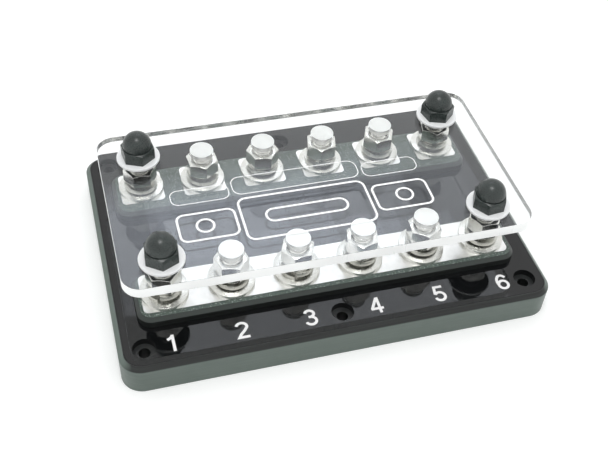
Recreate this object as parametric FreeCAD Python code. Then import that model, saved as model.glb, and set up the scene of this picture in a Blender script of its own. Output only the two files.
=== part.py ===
import FreeCAD, Part

import math
import os

from FreeCAD import Placement, Rotation, Vector

# Fuse block for bolt-down fuses: a milled plastic base, one common bus bar, six output
# terminals and a clear cover held by four cap nuts. Millimetres, +Z up, +X along the
# terminal rows, -Y at the numbered front edge. The origin is the centre of the flat
# underside.

# Terminal layout
POSITIONS = 6
STUD_PITCH = 27.7
FUSE_CENTRES = 61.0
ROW_SPAN = (POSITIONS - 1) * STUD_PITCH
FRONT_ROW_Y = -FUSE_CENTRES / 2
REAR_ROW_Y = FUSE_CENTRES / 2
STUD_X = [i * STUD_PITCH - ROW_SPAN / 2 for i in range(POSITIONS)]
END_STUDS = (0, POSITIONS - 1)

# Milled base
BASE_END_MARGIN = 22.45
BASE_SIDE_MARGIN = 33.0
BASE_LENGTH = ROW_SPAN + 2 * BASE_END_MARGIN
BASE_WIDTH = FUSE_CENTRES + 2 * BASE_SIDE_MARGIN
BASE_HEIGHT = 13.7
BASE_CORNER = 9.0
BASE_BEVEL = 1.9
RIM_WIDTH = 2.2
RAIL_RISE = 4.5
RAIL_TOP = BASE_HEIGHT + RAIL_RISE
RAIL_BEVEL = 1.5
RAIL_CORNER = 6.0
RAIL_END_REACH = 12.5
FRONT_RAIL_REACH = (13.1, 11.0)
REAR_RAIL_REACH = (15.6, 11.6)

# Inlaid face plate
PLATE_THICKNESS = 3.0
INLAY_GAP = 0.12

# Mounting screw holes, through the base with a wider hole in the face plate
HOLE_END_INSET = 10.2
HOLE_SIDE_INSET = 10.4
HOLE_X = BASE_LENGTH / 2 - HOLE_END_INSET
HOLE_Y = BASE_WIDTH / 2 - HOLE_SIDE_INSET
SCREW_HOLE_R = 2.4
SCREW_HEAD_R = 4.7

# Plated conductors, let in flush with the rail tops
BAR_THICKNESS = 3.0
BUS_END_REACH = 9.7
BUS_WIDTH = 18.7
BUS_CORNER = 2.6
PAD_LENGTH = 18.8
PAD_WIDTH = 18.8
PAD_CORNER = 2.0

# Hex bolts that stand up through the base
THREAD_R = 3.97
BOLT_CLEARANCE = 0.13
HEX_ACROSS_FLATS = 12.7
HEAD_HEIGHT = 5.2
HEAD_CHANNEL_DEPTH = 6.0
HEAD_CHANNEL_CLEARANCE = 0.15
HEAD_CHANNEL_RUNOUT = 3.4
POINT_CHAMFER = 0.8
TERMINAL_STUD_RISE = 17.5
COVER_STUD_RISE = 28.4
TERMINAL_STUD_TOP = RAIL_TOP + TERMINAL_STUD_RISE
COVER_STUD_TOP = RAIL_TOP + COVER_STUD_RISE

# Washers and nuts on the studs
WASHER_R = 9.8
WASHER_THICKNESS = 1.6
WASHER_BORE_GAP = 0.25
LOCK_WASHER_R = 7.3
LOCK_WASHER_THICKNESS = 2.0
LOCK_WASHER_SLOT = 1.1
LOCK_WASHER_TURNS = {"front": (239, 80, 248, 196, 110, 60), "rear": (60, 341, 186, 228, 100, 186)}
LOCK_WASHER_SPRING = 2.1
NUT_HEIGHT = 6.75
NUT_THREAD_GAP = 0.05
NUT_SEAT_GAP = 0.05
NUT_TURNS = {"front": (44, 46, 7, 16, 25, 59), "rear": (0, 35, 50, 16, 7, 20)}

# Clear cover with its washers and cap nuts
COVER_END_MARGIN = 17.05
COVER_SIDE_MARGIN = 14.8
COVER_LENGTH = ROW_SPAN + 2 * COVER_END_MARGIN
COVER_WIDTH = FUSE_CENTRES + 2 * COVER_SIDE_MARGIN
COVER_THICKNESS = 4.8
COVER_RISE = 15.2
COVER_UNDERSIDE = RAIL_TOP + COVER_RISE
COVER_CORNER = 8.0
COVER_SHIFT = 1.2
COVER_BORE_R = 4.3
POCKET_R = 5.2
POCKET_SKIN = 0.9
COVER_WASHER_R = 9.3
COVER_WASHER_THICKNESS = 1.2
CAP_ACROSS_FLATS = 13.0
CAP_HEX_HEIGHT = 5.6
CAP_GROOVE_HEIGHT = 0.5
CAP_GROOVE_R = 5.8
CAP_DOME_R = 6.2
CAP_BORE_DEPTH = 8.6
CAP_THREAD_GAP = 0.08
CAP_TURNS = (25, 6, 37, 42)


def rounded_face(length, width, radius, centre, z):
    """Flat face with four equal corner arcs, centred on an (x, y) point."""
    cx, cy = centre
    hx, hy = length / 2, width / 2
    k = radius * math.cos(math.pi / 4)
    edges = []
    corners = ((1, 1), (-1, 1), (-1, -1), (1, -1))
    starts, ends, mids = [], [], []
    for index, (sx, sy) in enumerate(corners):
        ox, oy = cx + sx * (hx - radius), cy + sy * (hy - radius)
        along_x = Vector(ox + sx * radius, oy, z)
        along_y = Vector(ox, oy + sy * radius, z)
        turned = index % 2 == 0
        starts.append(along_x if turned else along_y)
        ends.append(along_y if turned else along_x)
        mids.append(Vector(ox + sx * k, oy + sy * k, z))
    for index in range(4):
        arc = Part.Arc(starts[index], mids[index], ends[index])
        edges.append(arc.toShape())
        edges.append(Part.makeLine(ends[index], starts[(index + 1) % 4]))
    return Part.Face(Part.Wire(edges))


def rounded_block(length, width, radius, centre, z0, z1):
    """Straight-sided block with rounded upright corners."""
    return rounded_face(length, width, radius, centre, z0).extrude(Vector(0, 0, z1 - z0))


def bevelled_block(length, width, radius, centre, z0, z1, bevel):
    """Rounded block whose whole top edge is bevelled at 45 degrees."""
    body = rounded_block(length, width, radius, centre, z0, z1)
    rim = [e for e in body.Edges if e.BoundBox.ZMin > z1 - 1e-6]
    return body.makeChamfer(bevel, rim)


def pin(x, y, z0, z1, radius):
    """Upright cylinder between two heights."""
    return Part.makeCylinder(radius, z1 - z0, Vector(x, y, z0))


def hex_prism(across_flats, z0, z1, turn):
    """Hexagonal prism on the Z axis; turn is in degrees."""
    corner_r = across_flats / math.sqrt(3)
    angles = [math.radians(turn + 60 * i) for i in range(7)]
    points = [Vector(corner_r * math.cos(a), corner_r * math.sin(a), z0) for a in angles]
    return Part.Face(Part.makePolygon(points)).extrude(Vector(0, 0, z1 - z0))


def revolved(profile):
    """Solid turned about Z from (radius, height) points."""
    points = [Vector(r, 0, z) for r, z in profile]
    face = Part.Face(Part.makePolygon(points + points[:1]))
    return face.revolve(Vector(0, 0, 0), Vector(0, 0, 1), 360)


def moved(shape, x, y, z, turn=0.0):
    """Copy of a shape turned about Z and set at a point."""
    copy = shape.copy()
    copy.Placement = Placement(Vector(x, y, z), Rotation(Vector(0, 0, 1), turn))
    return copy


def rail_span(row_y, reach):
    """Width and middle of the raised rail that runs under a row of studs."""
    front, rear = reach
    return front + rear, row_y + (rear - front) / 2


def rail_solids(grow, z0, z1, bevel):
    """The two raised rails, or the openings round them when grown."""
    length = ROW_SPAN + 2 * (RAIL_END_REACH + grow)
    rails = []
    for row_y, reach in ((FRONT_ROW_Y, FRONT_RAIL_REACH), (REAR_ROW_Y, REAR_RAIL_REACH)):
        width, middle = rail_span(row_y, reach)
        size = (length, width + 2 * grow, RAIL_CORNER + grow, (0, middle), z0, z1)
        rails.append(bevelled_block(*size, bevel) if bevel else rounded_block(*size))
    return rails


def stud_places():
    """Every stud as (index along the row, x, y)."""
    rows = (FRONT_ROW_Y, REAR_ROW_Y)
    return [(i, x, y) for y in rows for i, x in enumerate(STUD_X)]


def mounting_places():
    """Four corner holes, then the two holes in the middle of the long edges."""
    corners = [(sx * HOLE_X, sy * HOLE_Y) for sy in (-1, 1) for sx in (-1, 1)]
    return corners + [(0, -HOLE_Y), (0, HOLE_Y)]


def bus_bar_blank(grow):
    """Front conductor's block, or its pocket when grown."""
    size = (ROW_SPAN + 2 * (BUS_END_REACH + grow), BUS_WIDTH + 2 * grow, BUS_CORNER + grow)
    return rounded_block(*size, (0, FRONT_ROW_Y), RAIL_TOP - BAR_THICKNESS, RAIL_TOP)


def pad_blank(x, grow):
    """One rear terminal pad's block, or its pocket when grown."""
    size = (PAD_LENGTH + 2 * grow, PAD_WIDTH + 2 * grow, PAD_CORNER + grow)
    return rounded_block(*size, (x, REAR_ROW_Y), RAIL_TOP - BAR_THICKNESS, RAIL_TOP)


def head_channel(row_y):
    """Routed channel on the underside that holds one row of bolt heads by their flats."""
    width = HEX_ACROSS_FLATS + 2 * HEAD_CHANNEL_CLEARANCE
    length = ROW_SPAN + width + 2 * HEAD_CHANNEL_RUNOUT
    return rounded_block(length, width, width / 2 - 0.01, (0, row_y), 0, HEAD_CHANNEL_DEPTH)


def make_base():
    """Base with its rim and both rails, milled from one sheet."""
    body = bevelled_block(BASE_LENGTH, BASE_WIDTH, BASE_CORNER, (0, 0), 0, BASE_HEIGHT, BASE_BEVEL)
    floor_z = BASE_HEIGHT - PLATE_THICKNESS
    inner = (BASE_LENGTH - 2 * RIM_WIDTH, BASE_WIDTH - 2 * RIM_WIDTH, BASE_CORNER - RIM_WIDTH)
    body = body.cut(rounded_block(*inner, (0, 0), floor_z, BASE_HEIGHT + 1))
    body = body.fuse(rail_solids(0, floor_z - 1, RAIL_TOP, RAIL_BEVEL))
    pockets = [bus_bar_blank(INLAY_GAP)] + [pad_blank(x, INLAY_GAP) for x in STUD_X]
    channels = [head_channel(FRONT_ROW_Y), head_channel(REAR_ROW_Y)]
    bores = [pin(x, y, 1, RAIL_TOP, THREAD_R + BOLT_CLEARANCE) for _, x, y in stud_places()]
    holes = [pin(x, y, -1, BASE_HEIGHT, SCREW_HOLE_R) for x, y in mounting_places()]
    return body.cut(pockets + channels + bores + holes).removeSplitter()


def make_face_plate():
    """Gloss plate let into the base round both rails."""
    inset = RIM_WIDTH + INLAY_GAP
    size = (BASE_LENGTH - 2 * inset, BASE_WIDTH - 2 * inset, BASE_CORNER - inset)
    floor_z = BASE_HEIGHT - PLATE_THICKNESS
    plate = rounded_block(*size, (0, 0), floor_z, BASE_HEIGHT)
    heads = [pin(x, y, floor_z - 1, BASE_HEIGHT + 1, SCREW_HEAD_R) for x, y in mounting_places()]
    return plate.cut(rail_solids(INLAY_GAP, floor_z - 1, BASE_HEIGHT + 1, 0) + heads)


def make_bus_bar():
    """Common bar with one stud hole for each position."""
    z0 = RAIL_TOP - BAR_THICKNESS - 1
    bores = [pin(x, FRONT_ROW_Y, z0, RAIL_TOP + 1, THREAD_R + BOLT_CLEARANCE) for x in STUD_X]
    return bus_bar_blank(0).cut(bores)


def make_pad(x):
    """Square terminal pad of one output."""
    z0 = RAIL_TOP - BAR_THICKNESS - 1
    return pad_blank(x, 0).cut(pin(x, REAR_ROW_Y, z0, RAIL_TOP + 1, THREAD_R + BOLT_CLEARANCE))


def make_bolt(top_z):
    """Hex bolt on the Z axis, head down in its channel and point at top_z."""
    seat = HEAD_CHANNEL_DEPTH
    head = hex_prism(HEX_ACROSS_FLATS, seat - HEAD_HEIGHT, seat, 0)
    shoulder = top_z - POINT_CHAMFER
    point_r = THREAD_R - POINT_CHAMFER
    outline = [(0, seat - 1), (THREAD_R, seat - 1), (THREAD_R, shoulder), (point_r, top_z), (0, top_z)]
    return head.fuse(revolved(outline))


def make_flat_washer():
    """Flat washer on the Z axis, underside at zero."""
    bore = pin(0, 0, -1, WASHER_THICKNESS + 1, THREAD_R + WASHER_BORE_GAP)
    return pin(0, 0, 0, WASHER_THICKNESS, WASHER_R).cut(bore)


def make_lock_washer():
    """Split spring washer: a square section carried once round a shallow left-hand helix."""
    bore_r = THREAD_R + WASHER_BORE_GAP
    slot = math.degrees(LOCK_WASHER_SLOT / LOCK_WASHER_R)
    pitch = LOCK_WASHER_SPRING * 360 / (360 - slot)
    path = Part.makeHelix(pitch, LOCK_WASHER_SPRING, bore_r, 0, True)
    height = LOCK_WASHER_THICKNESS
    corners = [(bore_r, 0), (LOCK_WASHER_R, 0), (LOCK_WASHER_R, height), (bore_r, height), (bore_r, 0)]
    section = Part.makePolygon([Vector(r, 0, z) for r, z in corners])
    return Part.Wire(path).makePipeShell([section], True, True)


def make_nut():
    """Hex nut with both faces chamfered, underside at zero."""
    flat_r = HEX_ACROSS_FLATS / 2
    drop = (HEX_ACROSS_FLATS / math.sqrt(3) - flat_r) * math.tan(math.radians(30))
    corner_r = HEX_ACROSS_FLATS / math.sqrt(3) + 0.01
    turned = [(0, 0), (flat_r, 0), (corner_r, drop), (corner_r, NUT_HEIGHT - drop)]
    turned += [(flat_r, NUT_HEIGHT), (0, NUT_HEIGHT)]
    body = hex_prism(HEX_ACROSS_FLATS, 0, NUT_HEIGHT, 0).common(revolved(turned))
    return body.cut(pin(0, 0, -1, NUT_HEIGHT + 1, THREAD_R + NUT_THREAD_GAP))


def make_cap_nut():
    """Domed nut: chamfered hexagon, narrow groove and round dome over a blind bore."""
    flat_r = CAP_ACROSS_FLATS / 2
    corner_r = CAP_ACROSS_FLATS / math.sqrt(3) + 0.01
    drop = (corner_r - flat_r) * math.tan(math.radians(30))
    turned = [(0, 0), (corner_r, 0), (corner_r, CAP_HEX_HEIGHT - drop)]
    turned += [(flat_r, CAP_HEX_HEIGHT), (0, CAP_HEX_HEIGHT)]
    body = hex_prism(CAP_ACROSS_FLATS, 0, CAP_HEX_HEIGHT, 0).common(revolved(turned))
    dome_z = CAP_HEX_HEIGHT + CAP_GROOVE_HEIGHT
    neck = pin(0, 0, 1, dome_z, CAP_GROOVE_R)
    dome = Part.makeSphere(CAP_DOME_R, Vector(0, 0, dome_z), Vector(0, 0, 1), 0, 90, 360)
    bore = pin(0, 0, -1, CAP_BORE_DEPTH, THREAD_R + CAP_THREAD_GAP)
    return body.fuse([neck, dome]).cut(bore)


def make_cover():
    """Clear cover: four through bores and a blind pocket over every other stud."""
    top = COVER_UNDERSIDE + COVER_THICKNESS
    size = (COVER_LENGTH, COVER_WIDTH, COVER_CORNER)
    sheet = rounded_block(*size, (0, COVER_SHIFT), COVER_UNDERSIDE, top)
    cuts = []
    for i, x, y in stud_places():
        through = i in END_STUDS
        radius = COVER_BORE_R if through else POCKET_R
        ceiling = top + 1 if through else top - POCKET_SKIN
        cuts.append(pin(x, y, COVER_UNDERSIDE - 1, ceiling, radius))
    return sheet.cut(cuts)


def write(name, shape):
    """One STEP file for one node."""
    shape.exportStep("parts/" + name + ".step")


def row_name(y):
    """Name of the row of studs at a Y position."""
    return "front" if y < 0 else "rear"


def lock_turn(index, y):
    """Angle of a spring washer's low end, in degrees."""
    return LOCK_WASHER_TURNS[row_name(y)][index]


def write_bolts_and_washers():
    """Bolts and the washers under the nuts, each kind as one group."""
    bolt, cover_bolt = make_bolt(TERMINAL_STUD_TOP), make_bolt(COVER_STUD_TOP)
    washer, lock = make_flat_washer(), make_lock_washer()
    inner = [(i, x, y) for i, x, y in stud_places() if i not in END_STUDS]
    outer = [(i, x, y) for i, x, y in stud_places() if i in END_STUDS]
    lock_z = RAIL_TOP + WASHER_THICKNESS
    locks = [moved(lock, x, y, lock_z, lock_turn(i, y)) for i, x, y in stud_places()]
    write("terminal_bolts", Part.Compound([moved(bolt, x, y, 0) for _, x, y in inner]))
    write("cover_bolts", Part.Compound([moved(cover_bolt, x, y, 0) for _, x, y in outer]))
    write("flat_washers", Part.Compound([moved(washer, x, y, RAIL_TOP) for _, x, y in stud_places()]))
    write("lock_washers", Part.Compound(locks))


def nut_seat():
    """Height of a nut's underside, finger loose on its open spring washer."""
    washers = WASHER_THICKNESS + LOCK_WASHER_THICKNESS + LOCK_WASHER_SPRING
    return RAIL_TOP + washers + NUT_SEAT_GAP


def write_nuts():
    """Each hex nut as its own node, numbered along its row."""
    nut = make_nut()
    for i, x, y in stud_places():
        row = row_name(y)
        turn = NUT_TURNS[row][i]
        write("%s_nut_%d" % (row, i + 1), moved(nut, x, y, nut_seat(), turn))


def write_cover():
    """Cover with its washers and cap nuts."""
    top = COVER_UNDERSIDE + COVER_THICKNESS
    write("clear_cover", make_cover())
    bore = pin(0, 0, -1, COVER_WASHER_THICKNESS + 1, COVER_BORE_R)
    washer = pin(0, 0, 0, COVER_WASHER_THICKNESS, COVER_WASHER_R).cut(bore)
    ends = [(x, y) for i, x, y in stud_places() if i in END_STUDS]
    write("cover_washers", Part.Compound([moved(washer, x, y, top) for x, y in ends]))
    cap = make_cap_nut()
    for number, ((x, y), turn) in enumerate(zip(ends, CAP_TURNS), 1):
        write("cap_nut_%d" % number, moved(cap, x, y, top + COVER_WASHER_THICKNESS, turn))


def main():
    """Write every node."""
    os.makedirs("parts", exist_ok=True)
    write("base_block", make_base())
    write("face_plate", make_face_plate())
    write("bus_bar", make_bus_bar())
    for i, x in enumerate(STUD_X):
        write("output_pad_%d" % (i + 1), make_pad(x))
    write_bolts_and_washers()
    write_nuts()
    write_cover()


main()
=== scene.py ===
import logging
import math
from contextlib import contextmanager
from dataclasses import dataclass
from enum import Enum
from typing import Iterator, Sequence

import bmesh
import bpy
from mathutils import Matrix, Vector


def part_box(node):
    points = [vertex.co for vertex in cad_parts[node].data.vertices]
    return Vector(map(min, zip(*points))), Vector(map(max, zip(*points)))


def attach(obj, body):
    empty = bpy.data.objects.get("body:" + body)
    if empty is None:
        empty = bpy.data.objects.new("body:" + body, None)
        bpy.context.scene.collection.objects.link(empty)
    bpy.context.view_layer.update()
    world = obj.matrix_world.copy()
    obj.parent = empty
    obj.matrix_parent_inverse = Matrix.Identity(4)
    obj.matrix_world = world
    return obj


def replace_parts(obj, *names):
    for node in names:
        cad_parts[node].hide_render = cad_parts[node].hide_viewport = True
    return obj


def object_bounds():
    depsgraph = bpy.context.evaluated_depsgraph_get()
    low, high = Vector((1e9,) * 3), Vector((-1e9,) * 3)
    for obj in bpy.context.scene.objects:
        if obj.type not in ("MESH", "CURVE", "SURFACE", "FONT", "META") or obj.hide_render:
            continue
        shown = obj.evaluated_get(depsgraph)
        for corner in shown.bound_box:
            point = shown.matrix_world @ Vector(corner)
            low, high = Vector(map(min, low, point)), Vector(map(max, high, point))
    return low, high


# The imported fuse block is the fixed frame: everything below dresses it and never moves it.
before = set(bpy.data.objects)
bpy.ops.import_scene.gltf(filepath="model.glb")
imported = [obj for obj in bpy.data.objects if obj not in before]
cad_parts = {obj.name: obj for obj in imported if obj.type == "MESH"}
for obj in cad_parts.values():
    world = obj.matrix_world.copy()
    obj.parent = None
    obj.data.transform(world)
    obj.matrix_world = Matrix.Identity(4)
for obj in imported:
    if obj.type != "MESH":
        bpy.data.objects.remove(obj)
CAD_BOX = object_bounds()

MM = 0.001
WELD = 1e-6
CREASE = 28.0
LOG = logging.getLogger("fuse_block")

Piece = bpy.types.Object
Socket = bpy.types.NodeSocket
Point = tuple[float, float]
Triple = tuple[float, float, float]
Colour = tuple[float, float, float, float]


def grey(value: float, tint: Triple = (1.0, 1.0, 1.0)) -> Colour:
    """A grey of one linear value, warmed or cooled by a tint."""
    return (value * tint[0], value * tint[1], value * tint[2], 1.0)


class Joining(Enum):
    """How one mesh is combined with another."""

    CUT_AWAY = "DIFFERENCE"
    KEEP_SHARED = "INTERSECT"
    WELD_ON = "UNION"


class Row(Enum):
    """The two rows of studs."""

    FRONT = "front"
    REAR = "rear"


# Work on meshes, done as by hand


def hold(piece: Piece) -> None:
    """Make one piece the only selected and active object.

    Args:
        piece: The piece to hold.
    """
    for other in bpy.context.selected_objects:
        other.select_set(False)
    piece.select_set(True)
    bpy.context.view_layer.objects.active = piece


def named(name: str) -> Piece:
    """Name the object that an operator has just added, and its mesh, and return it."""
    bpy.context.active_object.name = bpy.context.active_object.data.name = name
    return bpy.context.active_object


def settle(piece: Piece) -> None:
    """Move a piece's place, turn and size into its mesh."""
    hold(piece)
    bpy.ops.object.transform_apply(location=True, rotation=True, scale=True)


def smooth(piece: Piece, angle: float) -> None:
    """Shade a piece smooth, up to edges that turn by more than an angle in degrees."""
    hold(piece)
    bpy.ops.object.shade_smooth_by_angle(angle=math.radians(angle))


def modify(piece: Piece, kind: str, **settings: object) -> None:
    """Add a modifier to a piece and apply it.

    Args:
        piece: The piece to change.
        kind: Type of the modifier.
        **settings: The modifier's properties by name.
    """
    hold(piece)
    bpy.ops.object.modifier_add(type=kind)
    modifier = piece.modifiers[-1]
    for key, value in settings.items():
        setattr(modifier, key, value)
    bpy.ops.object.modifier_apply(modifier=modifier.name)


@contextmanager
def editing(piece: Piece) -> Iterator[None]:
    """Edit mode on one piece, with nothing selected to begin with.

    Args:
        piece: The piece to edit.

    Yields:
        Nothing.
    """
    hold(piece)
    bpy.ops.object.mode_set(mode="EDIT")
    bpy.ops.mesh.select_mode(type="VERT")
    bpy.ops.mesh.select_all(action="DESELECT")
    yield
    bpy.ops.object.mode_set(mode="OBJECT")


def pick_all() -> None:
    """Select the whole of the edited piece."""
    bpy.ops.mesh.select_all(action="SELECT")


def pick_upright(piece: Piece) -> None:
    """Select the upright edges of an edited piece.

    Args:
        piece: The piece in edit mode.
    """
    bpy.ops.mesh.select_mode(type="EDGE")
    mesh = bmesh.from_edit_mesh(piece.data)
    for edge in mesh.edges:
        first, second = (corner.co for corner in edge.verts)
        edge.select_set((first.xy - second.xy).length < WELD)
    bmesh.update_edit_mesh(piece.data)


def weld() -> None:
    """Merge the edited piece's doubled corners."""
    pick_all()
    bpy.ops.mesh.remove_doubles(threshold=WELD)


def face_outwards() -> None:
    """Turn the edited piece's faces outwards."""
    pick_all()
    bpy.ops.mesh.normals_make_consistent(inside=False)


def thicken(height: float) -> None:
    """Extrude the whole of the edited piece upwards, by millimetres."""
    pick_all()
    bpy.ops.mesh.extrude_region_move(TRANSFORM_OT_translate={"value": (0, 0, height * MM)})


def prism(name: str, sides: int, radius: float, low: float, high: float) -> Piece:
    """An upright prism about Z.

    Args:
        name: Name of the new object.
        sides: Number of side faces.
        radius: Corner radius in millimetres.
        low: Height of the lower face in millimetres.
        high: Height of the upper face in millimetres.

    Returns:
        The new object, with its place in its mesh.
    """
    middle = (low + high) / 2 * MM
    depth = (high - low) * MM
    bpy.ops.mesh.primitive_cylinder_add(
        vertices=sides, radius=radius * MM, depth=depth, location=(0, 0, middle)
    )
    piece = named(name)
    settle(piece)
    return piece


def drawn(name: str, path: Sequence[Sequence[float]]) -> Piece:
    """A chain of edges, drawn one vertex after another.

    Args:
        name: Name of the new object.
        path: Its points in millimetres.

    Returns:
        The new object.
    """
    bpy.ops.mesh.primitive_plane_add(size=MM, location=(0, 0, 0))
    piece = named(name)
    points = [Vector(point) * MM for point in path]
    with editing(piece):
        pick_all()
        bpy.ops.mesh.merge(type="CENTER")
        bpy.ops.transform.translate(value=points[0])
        for here, there in zip(points, points[1:]):
            bpy.ops.mesh.extrude_vertices_move(TRANSFORM_OT_translate={"value": there - here})
        weld()
    return piece


def turned(name: str, profile: Sequence[Point], steps: int = 64) -> Piece:
    """A solid of revolution about Z.

    Args:
        name: Name of the new object.
        profile: (radius, height) points in millimetres. The outline closes on itself or
            starts and ends on the axis.
        steps: Number of steps round the axis.

    Returns:
        The new closed mesh.
    """
    piece = drawn(name, [(radius, 0, height) for radius, height in profile])
    with editing(piece):
        pick_all()
        bpy.ops.mesh.spin(steps=steps, angle=math.tau, center=(0, 0, 0), axis=(0, 0, 1))
        weld()
        face_outwards()
    return piece


def combine(piece: Piece, tool: Piece, how: Joining) -> None:
    """Combine a piece with a tool mesh, which is used up."""
    modify(piece, "BOOLEAN", operation=how.value, solver="EXACT", object=tool)
    bpy.data.objects.remove(tool)


def ease(piece: Piece, width: float, segments: int = 2, angle: float = CREASE) -> None:
    """Round a piece's sharp edges and shade it smooth.

    Args:
        piece: The finished form.
        width: Width of the rounding in millimetres.
        segments: Faces across the rounding.
        angle: Edges that turn by more than this many degrees are rounded.
    """
    smooth(piece, angle)
    limit = {"limit_method": "ANGLE", "angle_limit": math.radians(angle)}
    modify(piece, "BEVEL", width=width * MM, segments=segments, harden_normals=True, **limit)


def placed(piece: Piece, x: float, y: float, z: float, turn: float = 0.0) -> None:
    """Turn a piece about Z and move it, in metres, with its place kept in its mesh."""
    spin = Matrix.Rotation(math.radians(turn), 4, "Z")
    piece.data.transform(Matrix.Translation((x, y, z)) @ spin)


def copied(piece: Piece, name: str) -> Piece:
    """A copy of a piece with a mesh of its own.

    Args:
        piece: The piece to copy.
        name: Name of the copy and its mesh.

    Returns:
        The copy.
    """
    twin = bpy.data.objects.new(name, piece.data.copy())
    twin.data.name = name
    bpy.context.scene.collection.objects.link(twin)
    return twin


def joined(pieces: Sequence[Piece], name: str) -> Piece:
    """Several pieces made one object of separate shells.

    Args:
        pieces: The pieces, which are used up.
        name: Name of the object they become.

    Returns:
        The object.
    """
    hold(pieces[0])
    for piece in pieces[1:]:
        piece.select_set(True)
    bpy.ops.object.join()
    return named(name)


def repeated(blank: Piece, name: str, places: Sequence[Vector], z: float, step: float) -> Piece:
    """Copies of a blank, one at each place, made one object.

    Args:
        blank: The piece to copy, which is used up.
        name: Name of the object that the copies become.
        places: Where the copies stand, of which X and Y count.
        z: Their height in metres.
        step: Degrees that each is turned from the one before.

    Returns:
        The object.
    """
    copies = []
    for number, place in enumerate(places, 1):
        twin = copied(blank, f"{blank.name}_{number}")
        placed(twin, place.x, place.y, z, step * number)
        copies.append(twin)
    bpy.data.objects.remove(blank)
    return joined(copies, name)


def dress(piece: Piece, *materials: bpy.types.Material) -> None:
    """Give a piece its materials in place of any that it has.

    Args:
        piece: The piece to dress.
        *materials: One material for each slot.
    """
    piece.data.materials.clear()
    for material in materials:
        piece.data.materials.append(material)


def report(piece: Piece) -> None:
    """Log a finished piece."""
    LOG.info("%s: %d faces", piece.name, len(piece.data.polygons))


# Places read from the frame


def middle_of(node: str) -> Vector:
    """Middle of a CAD node's box, in metres."""
    low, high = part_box(node)
    return (low + high) / 2


def nut_nodes() -> list[str]:
    """Names of the twelve hex nuts' nodes, front row first."""
    return [f"{row.value}_nut_{number}" for row in Row for number in range(1, 7)]


def stud_places(ends: bool) -> list[Vector]:
    """Stud axes, either the four that carry the cover or the eight between them."""
    wanted = ("1", "6") if ends else ("2", "3", "4", "5")
    return [middle_of(node) for node in nut_nodes() if node[-1] in wanted]


# Finishes

# The range that most values of a noise texture fill
SPAN: Point = (0.3, 0.7)
EVEN: Triple = (1.0, 1.0, 1.0)


class Nodes:
    """The nodes of a material or world, with short ways to add and link them."""

    def __init__(self, owner: bpy.types.ID) -> None:
        """Turn on the nodes of a new material or world."""
        owner.use_nodes = True
        self.tree = owner.node_tree

    def add(self, kind: str, **settings: object) -> bpy.types.Node:
        """Add a node.

        Args:
            kind: Type of the node.
            **settings: Its properties or inputs, with underscores for spaces.

        Returns:
            The node.
        """
        node = self.tree.nodes.new(kind)
        for key, value in settings.items():
            if hasattr(node, key):
                setattr(node, key, value)
            else:
                self.give(node.inputs[key.replace("_", " ")], value)
        return node

    def give(self, target: Socket, value: object) -> None:
        """Link an output to an input, or set the input to a constant.

        Args:
            target: The input.
            value: The output or constant.
        """
        if isinstance(value, Socket):
            self.tree.links.new(value, target)
        else:
            target.default_value = value

    def axis(self, vector: Socket, name: str) -> Socket:
        """One component of a vector."""
        return self.add("ShaderNodeSeparateXYZ", Vector=vector).outputs[name]

    def ramp(self, source: Socket, span: Point, first: float, last: float) -> Socket:
        """Map a factor over a span on to two values."""
        ends = {"From_Min": span[0], "From_Max": span[1], "To_Min": first, "To_Max": last}
        return self.add("ShaderNodeMapRange", Value=source, **ends).outputs["Result"]

    def step(self, source: Socket, start: float, width: float) -> Socket:
        """A factor that climbs from nought to one over a width."""
        return self.ramp(source, (start, start + width), 0.0, 1.0)

    def tones(self, source: Socket, span: Point, first: Colour, last: Colour) -> Socket:
        """Map a factor over a span on to two colours.

        Args:
            source: The factor.
            span: Where the first colour ends and the last one begins.
            first: Colour below the span.
            last: Colour above the span.

        Returns:
            The colour.
        """
        node = self.add("ShaderNodeValToRGB", Fac=source)
        for element, position, colour in zip(node.color_ramp.elements, span, (first, last)):
            element.position = position
            element.color = colour
        return node.outputs["Color"]

    def maths(self, operation: str, *sources: Socket) -> Socket:
        """One sum on one or two factors.

        Args:
            operation: Name of the sum.
            *sources: The factors.

        Returns:
            Its result.
        """
        node = self.add("ShaderNodeMath", operation=operation)
        for target, source in zip(node.inputs, sources):
            self.give(target, source)
        return node.outputs["Value"]

    def blend(self, factor: Socket, first: Socket, second: Socket | Colour) -> Socket:
        """Mix a colour with another.

        Args:
            factor: Share of the second colour.
            first: The first colour.
            second: The second colour, linked or written.

        Returns:
            The mixed colour.
        """
        node = self.add("ShaderNodeMix", data_type="RGBA", Factor=factor)
        colours = [socket for socket in node.inputs if socket.type == "RGBA"]
        for target, colour in zip(colours, (first, second)):
            self.give(target, colour)
        return next(socket for socket in node.outputs if socket.type == "RGBA")

    def bump(
        self, height: Socket, depth: float, strength: float = 1.0, under: Socket | None = None
    ) -> Socket:
        """Bump from a height factor, with its depth in millimetres, on top of another."""
        values = {"Height": height, "Distance": depth * MM} | ({"Normal": under} if under else {})
        return self.add("ShaderNodeBump", Strength=strength, **values).outputs["Normal"]


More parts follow.
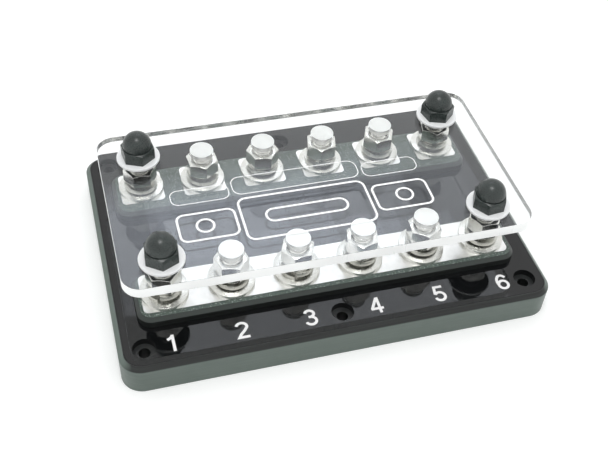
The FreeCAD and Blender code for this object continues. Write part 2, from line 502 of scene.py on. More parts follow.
class Shader(Nodes):
    """A new material's nodes."""

    def __init__(self, name: str) -> None:
        """Start a material with a principled surface.

        Args:
            name: Name of the material.
        """
        self.material = bpy.data.materials.new(name)
        super().__init__(self.material)
        self.surface = self.tree.nodes["Principled BSDF"]
        coordinates = self.tree.nodes.new("ShaderNodeTexCoord")
        self.place = coordinates.outputs["Object"]
        self.normal = coordinates.outputs["Normal"]

    def feed(self, **values: object) -> None:
        """Link or set inputs of the surface, with underscores for spaces."""
        for key, value in values.items():
            self.give(self.surface.inputs[key.replace("_", " ")], value)

    def noise(self, scale: float, detail: float, stretch: Triple = EVEN) -> Socket:
        """Factor of a noise texture, in features per metre, times a stretch for each axis."""
        where = self.add("ShaderNodeMapping", Vector=self.place, Scale=stretch).outputs["Vector"]
        return self.add("ShaderNodeTexNoise", Vector=where, Scale=scale, Detail=detail).outputs["Fac"]


@dataclass(frozen=True)
class SheetPlastic:
    """Black sheet: pebbled on the rails, darker where routed, and paler on its sawn flanks and end
    bevels, where the paleness is painted light and the streaks are tool marks.
    """

    name: str = "milled_black_sheet"
    dark: Colour = (0.066, 0.094, 0.079, 1)
    light: Colour = (0.124, 0.168, 0.145, 1)
    speck: Colour = (0.36, 0.4, 0.38, 1)
    bevel: Colour = (0.025, 0.033, 0.029, 1)
    rim: Colour = (0.012, 0.0135, 0.0135, 1)
    worn_rim: Colour = (0.024, 0.027, 0.0265, 1)
    routed: Colour = (0.003, 0.0038, 0.0036, 1)
    scored: Colour = (0.014, 0.018, 0.0165, 1)
    # Painted light: the flank colours are lightened to stand in for light off the white floor.
    sawn_and_lit: Colour = (0.09, 0.12, 0.104, 1)
    lit_streak: Colour = (0.11, 0.142, 0.124, 1)
    flank_top: float = 11.8
    flank_reach: Point = (87.6, 58.5)
    flank_fade: float = 0.1
    turning: Point = (0.42, 0.66)
    rails_from: float = 14.0
    height_fade: float = 0.3
    slanted: float = 0.5
    level: float = 0.9
    slant_fade: float = 0.06
    grains: float = 2400.0
    clouds: float = 140.0
    tool_marks: float = 1500.0
    mark_stretch: Triple = (0.02, 0.02, 1.0)
    specks: float = 2000.0
    speck_span: Point = (0.67, 0.71)
    roughness: Point = (0.34, 0.5)
    grain_depth: float = 0.035
    mark_depth: float = 0.02

    def material(self) -> bpy.types.Material:
        """Build the material.

        Returns:
            The material.
        """
        shader = Shader(self.name)
        grain = shader.noise(self.grains, 2.0)
        cloud = shader.noise(self.clouds, 4.0)
        marks = shader.noise(self.tool_marks, 3.0, self.mark_stretch)
        specks = shader.ramp(shader.noise(self.specks, 0.0), self.speck_span, 0.0, 1.0)
        skin = shader.tones(grain, (0.4, 0.72), self.dark, self.light)
        skin = shader.blend(specks, skin, self.speck)
        rim = shader.tones(cloud, (0.35, 0.7), self.rim, self.worn_rim)
        routed = shader.tones(marks, (0.35, 0.75), self.routed, self.scored)
        # Painted light: a paler colour on the outer flanks and end bevels than on the rest of the
        # black sheet.
        flank = shader.tones(marks, SPAN, self.sawn_and_lit, self.lit_streak)
        sides = shader.blend(self.painted_light_flank(shader), routed, flank)
        on_rails = self.above(shader, self.rails_from)
        bevels = shader.maths("MULTIPLY", on_rails, self.facing_up(shader, self.slanted))
        sides = shader.blend(bevels, sides, self.bevel)
        tops = shader.blend(on_rails, rim, skin)
        pebbles = shader.bump(grain, self.grain_depth, 0.5)
        shader.feed(
            Base_Color=shader.blend(self.facing_up(shader, self.level), sides, tops),
            Roughness=shader.ramp(cloud, SPAN, *self.roughness),
            Normal=shader.bump(marks, self.mark_depth, 0.3, pebbles),
            IOR=1.5,
        )
        return shader.material

    def painted_light_flank(self, shader: Shader) -> Socket:
        """A factor for the sawn faces and end bevels, which are painted lighter as painted light.

        Args:
            shader: The material that is built.

        Returns:
            One on the ends with their bevels, and on the long flanks below theirs.
        """
        # Painted light: the end bevels take the paler flank colour because they face sideways,
        # towards brighter surroundings.
        endwards = shader.ramp(self.size(shader, shader.normal, "X"), self.turning, 0.0, 1.0)
        span = (self.flank_top * MM, (self.flank_top + self.height_fade) * MM)
        low = shader.ramp(shader.axis(shader.place, "Z"), span, 1.0, 0.0)
        ends, longs = (
            shader.step(self.size(shader, shader.place, name), reach * MM, self.flank_fade * MM)
            for name, reach in zip("XY", self.flank_reach)
        )
        ends = shader.maths("MULTIPLY", ends, endwards)
        return shader.maths("MAXIMUM", ends, shader.maths("MULTIPLY", low, longs))

    def size(self, shader: Shader, vector: Socket, name: str) -> Socket:
        """Size of one component of a vector, without its sign."""
        return shader.maths("ABSOLUTE", shader.axis(vector, name))

    def above(self, shader: Shader, height: float) -> Socket:
        """A factor of one above a height in millimetres."""
        return shader.step(shader.axis(shader.place, "Z"), height * MM, self.height_fade * MM)

    def facing_up(self, shader: Shader, least: float) -> Socket:
        """A factor of one on faces that look upwards by at least a share."""
        return shader.step(shader.axis(shader.normal, "Z"), least, self.slant_fade)


@dataclass(frozen=True)
class GlossSheet:
    """Polished black sheet with faint wipe marks and a trace of waviness."""

    name: str = "gloss_black_plate"
    dark: Colour = (0.0042, 0.0047, 0.005, 1)
    light: Colour = (0.0066, 0.0072, 0.0078, 1)
    roughness: Point = (0.02, 0.07)
    clouds: float = 45.0
    wipes: float = 60.0
    wipe_stretch: Triple = (1.0, 7.0, 1.0)
    waviness: float = 0.02

    def material(self) -> bpy.types.Material:
        """Build the material.

        Returns:
            The material.
        """
        shader = Shader(self.name)
        cloud = shader.noise(self.clouds, 3.0)
        wipes = shader.noise(self.wipes, 5.0, self.wipe_stretch)
        shader.feed(
            Base_Color=shader.tones(cloud, SPAN, self.dark, self.light),
            Roughness=shader.ramp(wipes, (0.45, 0.75), *self.roughness),
            Normal=shader.bump(cloud, self.waviness, 0.15),
            IOR=1.49,
        )
        return shader.material


@dataclass(frozen=True)
class Metal:
    """Bright metal with a fine grain and slightly cloudy polish."""

    name: str
    dark: Colour
    light: Colour
    roughness: Point
    grain: Triple = EVEN
    grains: float = 1500.0
    grain_depth: float = 0.0012
    clouds: float = 220.0

    def material(self) -> bpy.types.Material:
        """Build the material.

        Returns:
            The material.
        """
        shader = Shader(self.name)
        grain = shader.noise(self.grains, 3.0, self.grain)
        cloud = shader.noise(self.clouds, 4.0)
        shader.feed(
            Base_Color=shader.tones(cloud, (0.35, 0.7), self.dark, self.light),
            Roughness=shader.ramp(grain, SPAN, *self.roughness),
            Normal=shader.bump(grain, self.grain_depth, 0.4),
            Metallic=1.0,
        )
        return shader.material


@dataclass(frozen=True)
class MouldedPlastic:
    """Moulded plastic with a fine matt skin."""

    name: str
    dark: Colour
    light: Colour
    roughness: Point
    depth: float = 0.02
    subsurface: float = 0.0
    grains: float = 3200.0
    clouds: float = 260.0
    light_reach: float = 1.2

    def material(self) -> bpy.types.Material:
        """Build the material.

        Returns:
            The material.
        """
        shader = Shader(self.name)
        skin = shader.noise(self.grains, 2.0)
        cloud = shader.noise(self.clouds, 4.0)
        shader.feed(
            Base_Color=shader.tones(cloud, SPAN, self.dark, self.light),
            Roughness=shader.ramp(skin, SPAN, *self.roughness),
            Normal=shader.bump(skin, self.depth, 0.35),
            IOR=1.5,
            Subsurface_Weight=self.subsurface,
            Subsurface_Radius=EVEN,
            Subsurface_Scale=self.light_reach * MM,
        )
        return shader.material


@dataclass(frozen=True)
class DrilledSkin:
    """White rough skin that a drill leaves, with a painted glow that stands in for light through the
    clear sheet.
    """

    name: str
    cover: Point
    roughness: float = 0.9
    painted_glow: float = 0.0
    colour: Colour = (0.97, 0.985, 0.98, 1)
    grains: float = 2600.0
    grain: Triple = EVEN
    depth: float = 0.04

    def material(self) -> bpy.types.Material:
        """Build the material.

        Returns:
            The material.
        """
        shader = Shader(self.name)
        marks = shader.noise(self.grains, 3.0, self.grain)
        shader.feed(
            Base_Color=self.colour,
            Roughness=self.roughness,
            # Painted light: an even glow, though the skin is no lamp.
            Emission_Color=self.colour,
            Emission_Strength=self.painted_glow,
            Alpha=shader.ramp(marks, SPAN, *self.cover),
            Normal=shader.bump(marks, self.depth, 0.6),
        )
        return shader.material


@dataclass(frozen=True)
class Acrylic:
    """Clear sheet, polished or whitened by a saw, with a painted glow on sawn edges that stands in
    for light they gather.
    """

    name: str
    colour: Colour
    roughness: Point
    clearness: Point = (1.0, 1.0)
    patches: float = 160.0
    grains: float = 900.0
    grain: Triple = EVEN
    depth: float = 0.0
    painted_glow: float = 0.0
    # Painted reflection: a cool tint for the sheet's reflections.
    painted_reflection_tint: Colour = (0.9, 0.94, 1.0, 1)
    streaks: Triple = (0.3, 0.3, 1.0)

    def material(self) -> bpy.types.Material:
        """Build the material.

        Returns:
            The material.
        """
        shader = Shader(self.name)
        marks = shader.noise(self.grains, 4.0, self.grain)
        shader.feed(
            Base_Color=self.colour,
            IOR=1.49,
            Transmission_Weight=self.clearness[0],
            # Painted reflection: a cool tint on the sheet's reflections stands in for bluish room
            # light.
            Specular_Tint=self.painted_reflection_tint,
            # Painted light: the sawn edge glows, though it is no lamp.
            Emission_Color=self.colour,
            Emission_Strength=self.painted_glow,
            Roughness=shader.ramp(marks, SPAN, *self.roughness),
        )
        if self.clearness[0] != self.clearness[1]:
            patches = shader.noise(self.patches, 3.0, self.streaks)
            shader.feed(Transmission_Weight=shader.ramp(patches, (0.42, 0.6), *self.clearness))
        if self.depth:
            shader.feed(Normal=shader.bump(marks, self.depth, 0.6))
        return shader.material


SHEET = SheetPlastic()
GLOSS = GlossSheet()
TIN = Metal(
    "tin_plate", grey(0.87, (1, 1, 0.98)), grey(0.96, (1, 1, 0.985)), (0.3, 0.42), (1, 6, 1)
)
STEEL = Metal("bright_steel", grey(0.8, (1, 0.995, 0.965)), grey(0.88, (1, 1, 0.97)), (0.13, 0.19))
STAMPED = Metal("stamped_steel", grey(0.76, (1, 1, 0.95)), grey(0.82, (1, 1, 0.96)), (0.26, 0.32))
SPRING = Metal("spring_steel", grey(0.64, (1, 1, 0.93)), grey(0.72, (1, 1, 0.95)), (0.26, 0.33))
PALE, PALEST = grey(0.94, (0.98, 1, 1.01)), grey(0.98, (0.985, 1, 1))
NYLON = MouldedPlastic("natural_nylon", PALE, PALEST, (0.35, 0.5), subsurface=0.15)
GREENISH = (0.84, 1.1, 1.03)
BLACK_NYLON = MouldedPlastic(
    "black_nylon", grey(0.024, GREENISH), grey(0.042, GREENISH), (0.24, 0.34), 0.015
)
WHITE_FILL = MouldedPlastic("white_fill", grey(0.9), grey(0.96), (0.5, 0.65))
CLEAR = Acrylic("clear_acrylic", (0.985, 0.995, 0.99, 1), (0.0, 0.012), grains=30.0)
SAW = {"grains": 800.0, "grain": (1.0, 1.0, 0.15)}
# Painted light: the sawn front edge glows, standing in for light that it gathers.
SAWN = Acrylic(
    "sawn_edge", (0.985, 1, 0.99, 1), (0.2, 0.45), (0.03, 0.16), 90, painted_glow=0.15, depth=0.014, **SAW
)
SAWN_BACK = Acrylic(
    "sawn_back_edge", (0.98, 1.0, 0.99, 1), (0.05, 0.3), (0.5, 1.0), 380.0, depth=0.02, **SAW
)
# Painted light: the print, the pocket roofs and the pocket walls glow, though they are no lamps.
WHITE_PRINT = DrilledSkin("white_print", (1.0, 1.0), 0.6, 0.35, (0.8, 0.81, 0.81, 1.0))
POCKET_ROOF = DrilledSkin("drilled_pocket_roof", (0.88, 1.0), painted_glow=0.19)
POCKET_WALL = DrilledSkin("drilled_pocket_wall", (0.15, 0.5), painted_glow=0.06, grain=(0.2, 0.2, 1.0))


# Figures, as centre lines of their strokes in parts of their height


def arc(x: float, y: float, across: float, up: float, first: float, last: float) -> list[Point]:
    """Points along part of an ellipse.

    Args:
        x: Middle of the ellipse, across.
        y: Middle of the ellipse, upwards.
        across: Half its width.
        up: Half its height.
        first: Angle of the first point in degrees.
        last: Angle of the last point in degrees.

    Returns:
        The points, about ten degrees apart.
    """
    steps = max(2, round(abs(last - first) / 10))
    turns = [math.radians(first + (last - first) * step / steps) for step in range(steps + 1)]
    return [(x + across * math.cos(turn), y + up * math.sin(turn)) for turn in turns]


FIGURE_STROKES: dict[int, list[list[Point]]] = {
    1: [[(0.4, 0), (0.4, 1)], [(0.13, 0.73), (0.26, 0.79), (0.4, 0.93)]],
    2: [
        [*arc(0.33, 0.72, 0.26, 0.216, 168, -30), (0.42, 0.44)]
        + [(0.22, 0.25), (0.1, 0.064), (0.63, 0.064)],
    ],
    3: [
        [*arc(0.325, 0.736, 0.225, 0.2, 163, -90), (0.24, 0.536)],
        [(0.24, 0.536), *arc(0.325, 0.3, 0.26, 0.236, 90, -165)],
    ],
    4: [[(0.46, 0), (0.46, 1)], [(0, 0.29), (0.66, 0.29)], [(0.05, 0.29), (0.42, 0.94)]],
    5: [
        [(0.55, 0.936), (0.13, 0.936), (0.05, 0.48)],
        [(0.05, 0.48), *arc(0.275, 0.325, 0.26, 0.261, 132, -165)],
    ],
    6: [arc(0.345, 0.32, 0.25, 0.256, 0, 360), arc(0.36, 0.5, 0.285, 0.436, 38, 195)],
}


# Pieces


@dataclass
class MilledBody:
    """Base, face plate and conductors, which only need a finish, and the plate's figures."""

    height: float = 8.2
    width: float = 5.5
    line: float = 1.2
    inset: float = 10.5
    pitch: float = 28.3
    shift: float = 0.45
    rise: float = 0.04
    depth: float = 0.25

    def build(self) -> None:
        """Dress the nodes and letter the six positions."""
        dress(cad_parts["base_block"], SHEET.material())
        dress(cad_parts["face_plate"], GLOSS.material())
        tin = TIN.material()
        for name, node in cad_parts.items():
            if name == "bus_bar" or name.startswith("output_pad"):
                dress(node, tin)
        self.number_positions()

    def number_positions(self) -> None:
        """White-filled figures on the face plate, one in front of each front stud."""
        fill = WHITE_FILL.material()
        plate_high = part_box("face_plate")[1]
        y = CAD_BOX[0].y + self.inset * MM
        z = plate_high.z + (self.rise - self.depth) * MM
        middle = (1 + len(FIGURE_STROKES)) / 2
        for number in FIGURE_STROKES:
            figure = self.figure(number)
            x = self.shift + (number - middle) * self.pitch
            placed(figure, x * MM, y, z)
            dress(figure, fill)
            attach(figure, "block")
            report(figure)

    def figure(self, number: int) -> Piece:
        """One figure as a thin solid about the origin, its lower face at zero.

        Args:
            number: The figure to make.

        Returns:
            The new object.
        """
        strokes = [self.stroke(path) for path in FIGURE_STROKES[number]]
        piece = strokes[0]
        for stroke in strokes[1:]:
            combine(piece, stroke, Joining.WELD_ON)
        piece.name = piece.data.name = f"position_number_{number}"
        return piece

    def stroke(self, path: Sequence[Point]) -> Piece:
        """One stroke of a figure, a low wall of even width.

        Args:
            path: Its centre line in parts of the figure's height.

        Returns:
            The new object.
        """
        size, middle = self.height, self.width / 2
        piece = drawn("stroke", [(x * size - middle, (y - 0.5) * size, 0) for x, y in path])
        with editing(piece):
            thicken(self.depth)
        width = self.line * MM
        modify(piece, "SOLIDIFY", thickness=width, offset=0, use_even_offset=True)
        with editing(piece):
            face_outwards()
        return piece


@dataclass
class HexFastener:
    """Sizes that the bolts and nuts share, in millimetres."""

    across_flats: float = 12.7
    thread_radius: float = 3.97
    core_radius: float = 3.3
    pitch: float = 1.411
    chamfer_angle: float = 30.0
    chamfer_start: float = 0.985

    @property
    def corner_radius(self) -> float:
        """Radius of the hexagon's corners."""
        return self.across_flats / math.sqrt(3)

    def chamfer_drop(self) -> float:
        """Height that the chamfer takes at the hexagon's corners."""
        slope = math.tan(math.radians(self.chamfer_angle))
        return (self.corner_radius - self.across_flats / 2) * slope

    def hexagon(self, name: str, low: float, high: float, ends: tuple[bool, bool]) -> Piece:
        """A hexagon with a flat towards -Y and its chosen ends chamfered.

        Args:
            name: Name of the new object.
            low: Height of its lower face.
            high: Height of its upper face.
            ends: Whether the lower and the upper end are chamfered.

        Returns:
            The new object.
        """
        piece = prism(name, 6, self.corner_radius, low, high)
        placed(piece, 0, 0, 0, 30)
        outer, inner = self.corner_radius + 0.02, self.across_flats / 2 * self.chamfer_start
        drop = self.chamfer_drop()
        lower = [(inner, low), (outer, low + drop)] if ends[0] else [(outer, low - 1)]
        upper = [(outer, high - drop), (inner, high)] if ends[1] else [(outer, high + 1)]
        profile = [(0, lower[0][1]), *lower, *upper, (0, upper[-1][1])]
        combine(piece, turned("blank", profile, 72), Joining.KEEP_SHARED)
        return piece


@dataclass
class Bolts(HexFastener):
    """Hex bolts with cut threads, standing in for the plain CAD ones."""

    crest: float = 0.22
    thread_start: float = 19.6
    seat: float = 6.0
    head_height: float = 5.2
    head_rounding: float = 0.12
    point: float = 0.8
    turn_step: float = 60.0
    steps_per_turn: int = 24
    thread_crease: float = 25.0

    def build(self) -> None:
        """Make both lengths and set one at each stud."""
        steel = STEEL.material()
        for node, ends in (("terminal_bolts", False), ("cover_bolts", True)):
            blank = self.bolt(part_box(node)[1].z / MM)
            piece = repeated(blank, f"threaded_{node}", stud_places(ends), 0, self.turn_step)
            dress(piece, steel)
            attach(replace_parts(piece, node), "block")
            report(piece)

    def bolt(self, top: float) -> Piece:
        """One bolt on the Z axis.

        Args:
            top: Height of its point in millimetres.

        Returns:
            The new object.
        """
        head = self.hexagon("head", self.seat - self.head_height, self.seat, (True, False))
        ease(head, self.head_rounding)
        start, shoulder = self.thread_start, top - self.point
        core, plain = self.core_radius, self.thread_radius - 0.05
        profile = [(0, self.seat), (plain, self.seat), (plain, start), (core, start + 0.5)]
        profile += [(core, shoulder), (core - 0.45, top), (0, top)]
        shank = turned("shank", profile, 40)
        smooth(shank, CREASE)
        return joined([head, shank, self.ridge(start - 0.2, shoulder + 0.15)], "bolt")

    def ridge(self, low: float, high: float) -> Piece:
        """The thread as one closed ridge wound round the core.

        Args:
            low: Height of its start in millimetres.
            high: Height of its end in millimetres.

        Returns:
            The new object.
        """
        root, crest = self.pitch * 0.46, self.crest / 2
        inner, outer = self.core_radius - 0.15, self.thread_radius
        heights = (-root, -crest, crest, root)
        corners = zip((inner, outer, outer, inner), heights)
        piece = drawn("ridge", [(radius, 0, low + height) for radius, height in corners])
        with editing(piece):
            pick_all()
            bpy.ops.mesh.edge_face_add()
        turns = (high - low) / self.pitch
        steps = round(self.steps_per_turn * turns)
        winding = {"angle": math.tau * turns, "screw_offset": self.pitch * MM * turns}
        modify(piece, "SCREW", axis="Z", steps=steps, render_steps=steps, **winding)
        with editing(piece):
            weld()
            bpy.ops.mesh.fill_holes(sides=4)
            face_outwards()
        smooth(piece, self.thread_crease)
        return piece


@dataclass
class Washers:
    """Stamped flat washers, and the finish of the spring washers on them."""

    outer: float = 9.8
    bore: float = 4.22
    thickness: float = 1.6
    rounding: float = 0.16
    burr: float = 0.1
    crease: float = 40.0
    turn_step: float = 37.0

    def build(self) -> None:
        """Set a flat washer on each stud and dress the spring washers."""
        places = [middle_of(node) for node in nut_nodes()]
        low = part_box("flat_washers")[0].z
        piece = repeated(self.washer(), "stamped_washers", places, low, self.turn_step)
        dress(piece, STAMPED.material())
        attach(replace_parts(piece, "flat_washers"), "block")
        report(piece)
        dress(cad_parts["lock_washers"], SPRING.material())

    def washer(self) -> Piece:
        """One washer at the origin, rolled over on top and sharp below.

        Returns:
            The new object.
        """
        bore, outer, burr = self.bore, self.outer, self.burr
        top, edge = self.thickness, self.rounding
        profile = [(bore, burr), (bore + burr, 0), (outer - burr, 0), (outer, burr)]
        profile += [(outer, top - edge), (outer - 0.05, top - 0.05), (outer - edge, top)]
        profile += [(bore + edge, top), (bore + burr, top - burr), (bore, top - edge)]
        piece = turned("washer", [*profile, profile[0]], 72)
        smooth(piece, self.crease)
        return piece


@dataclass
class Nuts(HexFastener):
    """Hex nuts with chamfered corners and a countersunk bore."""

    height: float = 6.75
    bore: float = 4.02
    countersink: float = 0.62
    rounding: float = 0.14
    turns: tuple[int, ...] = (44, 46, 7, 16, 25, 59, 0, 35, 50, 16, 7, 20)

    def build(self) -> None:
        """Set a nut in place of each CAD one."""
        steel = STEEL.material()
        blank = self.nut()
        for node, turn in zip(nut_nodes(), self.turns):
            place = middle_of(node)
            piece = copied(blank, f"{node}_finished")
            placed(piece, place.x, place.y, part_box(node)[0].z, turn)
            dress(piece, steel)
            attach(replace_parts(piece, node), node)
            report(piece)
        bpy.data.objects.remove(blank)

    def nut(self) -> Piece:
        """One nut at the origin.

        Returns:
            The new object.
        """
        piece = self.hexagon("nut", 0, self.height, (True, True))
        wide, sink, high = self.bore + self.countersink, self.countersink, self.height
        profile = [(0, -0.5), (wide + 0.5, -0.5), (self.bore, sink)]
        profile += [(self.bore, high - sink), (wide + 0.5, high + 0.5), (0, high + 0.5)]
        combine(piece, turned("bore", profile, 48), Joining.CUT_AWAY)
        ease(piece, self.rounding)
        return piece


@dataclass
class Cover:
    """Clear cover sheet with drilled pockets, sawn edges and a white outline drawing."""

    corner: float = 8.0
    bore: float = 4.3
    pocket: float = 5.2
    skin: float = 0.9
    rounding: float = 0.22
    crease: float = 35.0
    line: float = 0.95
    relief: float = 0.05
    sunk: float = 0.02
    drawing: Point = (-6.0, -16.0)

    def build(self) -> None:
        """Make the sheet, the roofs of its pockets and its drawing."""
        sheet = self.sheet()
        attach(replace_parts(sheet, "clear_cover"), "cover")
        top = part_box("clear_cover")[1].z
        roofs = self.pocket_roofs(top)
        drawing = self.drawn_lines(top)
        for piece in (roofs, drawing):
            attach(piece, "cover")
        for piece in (sheet, roofs, drawing):
            report(piece)

    def sheet(self) -> Piece:
        """The drilled sheet, in the box of the CAD one.

        Returns:
            The new object.
        """
        low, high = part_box("clear_cover")
        bpy.ops.mesh.primitive_cube_add(size=1, location=(low + high) / 2)
        piece = named("acrylic_cover")
        piece.scale = high - low
        settle(piece)
        with editing(piece):
            pick_upright(piece)
            bpy.ops.mesh.bevel(offset=self.corner * MM, segments=14, affect="EDGES")
        below, top = low.z / MM, high.z / MM
        drills = ((True, self.bore, top + 1), (False, self.pocket, top - self.skin))
        for ends, radius, ceiling in drills:
            for place in stud_places(ends):
                drill = prism("drill", 64, radius, below - 1, ceiling)
                placed(drill, place.x, place.y, 0)
                combine(piece, drill, Joining.CUT_AWAY)
        ease(piece, self.rounding, angle=self.crease)
        finishes = (CLEAR, SAWN, POCKET_WALL, SAWN_BACK)
        dress(piece, *(finish.material() for finish in finishes))
        self.mark_worked_faces(piece)
        return piece

    def mark_worked_faces(self, piece: Piece) -> None:
        """Give the sheet's sawn outer edges and its pocket walls their own finish.

        Args:
            piece: The sheet, with a material slot for each finish.
        """
        pockets = [place.xy for place in stud_places(False)]
        studs = pockets + [place.xy for place in stud_places(True)]
        for face in piece.data.polygons:
            if abs(face.normal.z) > 0.5:
                continue
            if min((face.center.xy - pocket).length for pocket in pockets) < 1.1 * self.pocket * MM:
                face.material_index = 2
            elif min((face.center.xy - stud).length for stud in studs) > 2 * self.pocket * MM:
                face.material_index = 3 if face.normal.y > 0.5 else 1

    def pocket_roofs(self, height: float) -> Piece:
        """The white skin that the drill leaves on the roof of each pocket.

        Args:
            height: Height of the sheet's top in metres.

        Returns:
            The discs as one object.
        """
        roof = height / MM - self.skin - self.sunk
        blank = prism("roof", 48, self.pocket - 0.05, roof - self.relief, roof)
        piece = repeated(blank, "drilled_pocket_roofs", stud_places(False), 0, 0)
        dress(piece, POCKET_ROOF.material())
        return piece

    def drawn_lines(self, height: float) -> Piece:
        """A plain outline drawing of a bolt-down fuse, in white on top of the sheet.

        Args:
            height: Height of the sheet's top in metres.

        Returns:
            The drawing as one object.
        """
        bold, thin = self.line, self.line * 0.4
        shapes = [self.outline((0, 0), (56, 25), 4, bold), self.outline((0, 0), (36, 8), 3.9, bold)]
        for side in (-1, 1):
            shapes.append(self.outline((side * 42, 0), (25, 16), 3.5, bold))
            shapes.append(self.outline((side * 43, 0), (8, 8), 3.9, bold))
            shapes.append(self.outline((side * 42, 18), (25, 9), 3.5, thin))
        shapes.append(self.outline((0, 20), (56, 11), 4, thin))
        drawing = joined(shapes, "white_fuse_outline")
        x, y = self.drawing
        placed(drawing, x * MM, y * MM, height - self.sunk * MM)
        dress(drawing, WHITE_PRINT.material())
        return drawing

    def outline(self, middle: Point, size: Point, corner: float, line: float) -> Piece:
        """A closed line round a rectangle with rounded corners, in millimetres.

        Args:
            middle: Middle of the rectangle.
            size: Its size along X and Y.
            corner: Radius of its corners.
            line: Width of the line.

        Returns:
            The line as a low solid.
        """
        bpy.ops.mesh.primitive_plane_add(size=1, location=(middle[0] * MM, middle[1] * MM, 0))
        piece = named("outline")
        piece.scale = (size[0] * MM, size[1] * MM, 1)
        settle(piece)
        with editing(piece):
            pick_all()
            bpy.ops.mesh.bevel(offset=corner * MM, segments=8, affect="VERTICES")
            pick_all()
            bpy.ops.mesh.inset(thickness=line * MM, use_boundary=True)
            bpy.ops.mesh.delete(type="FACE")
            thicken(self.relief)
            face_outwards()
        return piece


@dataclass
class CapNuts(HexFastener):
    """Domed cap nuts and the nylon washers under them."""

    across_flats: float = 13.0
    hex_height: float = 5.6
    groove: float = 0.5
    groove_radius: float = 5.8
    dome: float = 6.2
    depth: float = 8.6
    bore: float = 4.05
    washer_outer: float = 9.3
    washer_bore: float = 4.3
    rounding: float = 0.16
    crease: float = 26.0
    washer_rounding: float = 0.25
    turns: tuple[int, ...] = (25, 6, 37, 42)

    def build(self) -> None:
        """Set the cap nuts and their washers in place of the CAD ones."""
        black = BLACK_NYLON.material()
        blank = self.cap()
        for number, turn in enumerate(self.turns, 1):
            node = f"cap_nut_{number}"
            place = middle_of(node)
            piece = copied(blank, f"{node}_finished")
            placed(piece, place.x, place.y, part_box(node)[0].z, turn)
            dress(piece, black)
            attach(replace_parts(piece, node), node)
            report(piece)
        bpy.data.objects.remove(blank)
        self.washers()

    def cap(self) -> Piece:
        """One cap nut at the origin.

        Returns:
            The new object.
        """
        piece = self.hexagon("cap", 0, self.hex_height, (False, True))
        low, shoulder = self.hex_height - 1, self.hex_height + self.groove
        quarter = [math.radians(90 * step / 16) for step in range(17)]
        profile = [(0, low), (self.groove_radius, low), (self.groove_radius, shoulder)]
        profile += [
            (self.dome * math.cos(turn), shoulder + self.dome * math.sin(turn)) for turn in quarter
        ]
        combine(piece, turned("dome", profile, 72), Joining.WELD_ON)
        combine(piece, prism("bore", 48, self.bore, -1, self.depth), Joining.CUT_AWAY)
        ease(piece, self.rounding, angle=self.crease)
        return piece

    def washers(self) -> None:
        """Four nylon washers with softened rims."""
        low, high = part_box("cover_washers")
        bore, outer, thick = self.washer_bore, self.washer_outer, (high.z - low.z) / MM
        profile = [(bore, 0), (outer, 0), (outer, thick), (bore, thick), (bore, 0)]
        rim = turned("rim", profile, 72)
        ease(rim, self.washer_rounding, 3)
        places = [middle_of(f"cap_nut_{number}") for number in range(1, 5)]
        piece = repeated(rim, "nylon_washers", places, low.z, 0)
        dress(piece, NYLON.material())
        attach(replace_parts(piece, "cover_washers"), "cover")
        report(piece)


# Studio


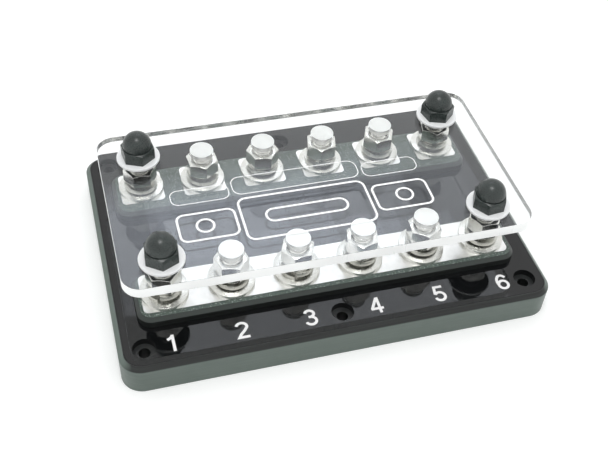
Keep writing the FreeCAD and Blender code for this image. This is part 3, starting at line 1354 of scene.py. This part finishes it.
@dataclass
class Studio:
    """Pale floor, soft light and the photograph's camera.

    A pane is its corner nearest to the camera and its opposite corner, in metres, and its
    power in watts for each square metre.
    """

    camera_place: Triple = (-95.5, -282.4, 315.1)
    looking: Triple = (0.2202, 0.6625, -0.7160)
    right: Triple = (0.9626, -0.2662, 0.0497)
    focal_pixels: float = 948.9
    image_width: int = 608
    sensor: float = 36.0
    nearest: float = 0.01
    sky: float = 0.84
    floor_size: float = 6.0
    floor_colour: Colour = (0.86, 0.87, 0.865, 1)
    floor_glow: float = 0.235
    window_height: float = 0.98
    window_tint: Triple = (0.94, 1.0, 1.12)
    pane_gap: float = 0.002
    panes: tuple[tuple[Point, Point, float], ...] = (
        ((-0.01, 0.56), (0.6, 0.757), 3.05),
        ((-0.056, 0.755), (0.64, 1.035), 1.2),
        ((-0.056, 0.755), (0.5, 1.015), 1.0),
        ((-0.056, 0.755), (0.42, 0.985), 0.85),
        ((0.012, 0.755), (0.34, 1.0), 1.2),
        ((0.03, 0.82), (0.26, 0.975), 0.9),
        ((0.03, 0.755), (0.46, 0.87), 1.05),
        ((0.35, 0.755), (0.56, 0.845), 1.2),
    )
    softbox_place: Triple = (-0.1, -0.2, 1.3)
    softbox_side: float = 0.38
    softbox_power: float = 3.8

    def build(self) -> None:
        """Set up the world, floor, lamps and camera."""
        bpy.context.scene.view_settings.view_transform = "Standard"
        self.world()
        self.floor()
        for number in range(len(self.panes)):
            self.pane(number)
        self.softbox()
        self.camera()

    def seen_directly(self, nodes: Nodes) -> Socket:
        """A factor of one for rays from the camera, or off gloss and through glass.

        Args:
            nodes: The nodes to add to.

        Returns:
            The factor.
        """
        path = nodes.add("ShaderNodeLightPath").outputs
        seen = nodes.maths("MAXIMUM", path["Is Camera Ray"], path["Is Glossy Ray"])
        return nodes.maths("MAXIMUM", seen, path["Is Transmission Ray"])

    def world(self) -> None:
        """White surroundings, a little dimmer as a light than as a backdrop."""
        world = bpy.context.scene.world = bpy.data.worlds.new("white_room")
        nodes = Nodes(world)
        light = nodes.tree.nodes["Background"].inputs
        nodes.give(light["Color"], (1, 1, 1, 1))
        strength = nodes.ramp(self.seen_directly(nodes), (0.0, 1.0), self.sky, 1.0)
        nodes.give(light["Strength"], strength)

    def floor(self) -> None:
        """Pale floor that keeps the shadow and fades to white in view."""
        bpy.ops.mesh.primitive_plane_add(size=self.floor_size, location=(0, 0, CAD_BOX[0].z))
        floor = named("studio_floor")
        settle(floor)
        shader = Shader("pale_floor")
        shader.feed(Base_Color=self.floor_colour, Roughness=0.9, Specular_IOR_Level=0.0)
        strength = shader.ramp(self.seen_directly(shader), (0.0, 1.0), 0.0, self.floor_glow)
        shader.feed(Emission_Strength=strength)
        dress(floor, shader.material)

    def pane(self, number: int) -> None:
        """One pane of the cool window behind the block, facing straight down.

        Args:
            number: Its index in the list of panes, each a little above the one before.
        """
        near, far, shine = self.panes[number]
        size = (far[0] - near[0], far[1] - near[1])
        lamp = self.lamp(f"window_pane_{number + 1}", size, size[0] * size[1] * shine)
        lamp.data.color = self.window_tint
        height = self.window_height + number * self.pane_gap
        lamp.location = ((near[0] + far[0]) / 2, (near[1] + far[1]) / 2, height)

    def softbox(self) -> None:
        """A square soft light above the block and aimed at it."""
        lamp = self.lamp("softbox_above", (self.softbox_side,) * 2, self.softbox_power)
        lamp.location = self.softbox_place
        lamp.rotation_euler = Vector(self.softbox_place).to_track_quat("Z", "Y").to_euler()

    def lamp(self, name: str, size: Point, power: float) -> Piece:
        """A rectangular light that looks straight down.

        Args:
            name: Name of the lamp.
            size: Its width and depth in metres.
            power: Its power in watts.

        Returns:
            The lamp.
        """
        data = bpy.data.lights.new(name, "AREA")
        data.shape = "RECTANGLE"
        data.size, data.size_y = size
        data.energy = power
        lamp = bpy.data.objects.new(name, data)
        bpy.context.scene.collection.objects.link(lamp)
        return lamp

    def camera(self) -> None:
        """The photograph's camera, solved from the block's own edges."""
        data = bpy.data.cameras.new("photo_camera")
        data.sensor_width = self.sensor
        data.lens = self.focal_pixels * self.sensor / self.image_width
        data.clip_start = self.nearest
        camera = bpy.data.objects.new("photo_camera", data)
        ahead = Vector(self.looking).normalized()
        side = Vector(self.right)
        side = (side - side.dot(ahead) * ahead).normalized()
        up = side.cross(ahead)
        turn = Matrix((side, up, -ahead)).transposed().to_4x4()
        camera.matrix_world = Matrix.Translation(Vector(self.camera_place) * MM) @ turn
        bpy.context.scene.collection.objects.link(camera)
        bpy.context.scene.camera = camera


def main() -> None:
    """Dress the block and set up the studio."""
    logging.basicConfig(level=logging.INFO, format="%(message)s")
    for part in (MilledBody(), Bolts(), Washers(), Nuts(), Cover(), CapNuts(), Studio()):
        part.build()
        LOG.info("done: %s", type(part).__name__)


if __name__ == "__main__":
    main()
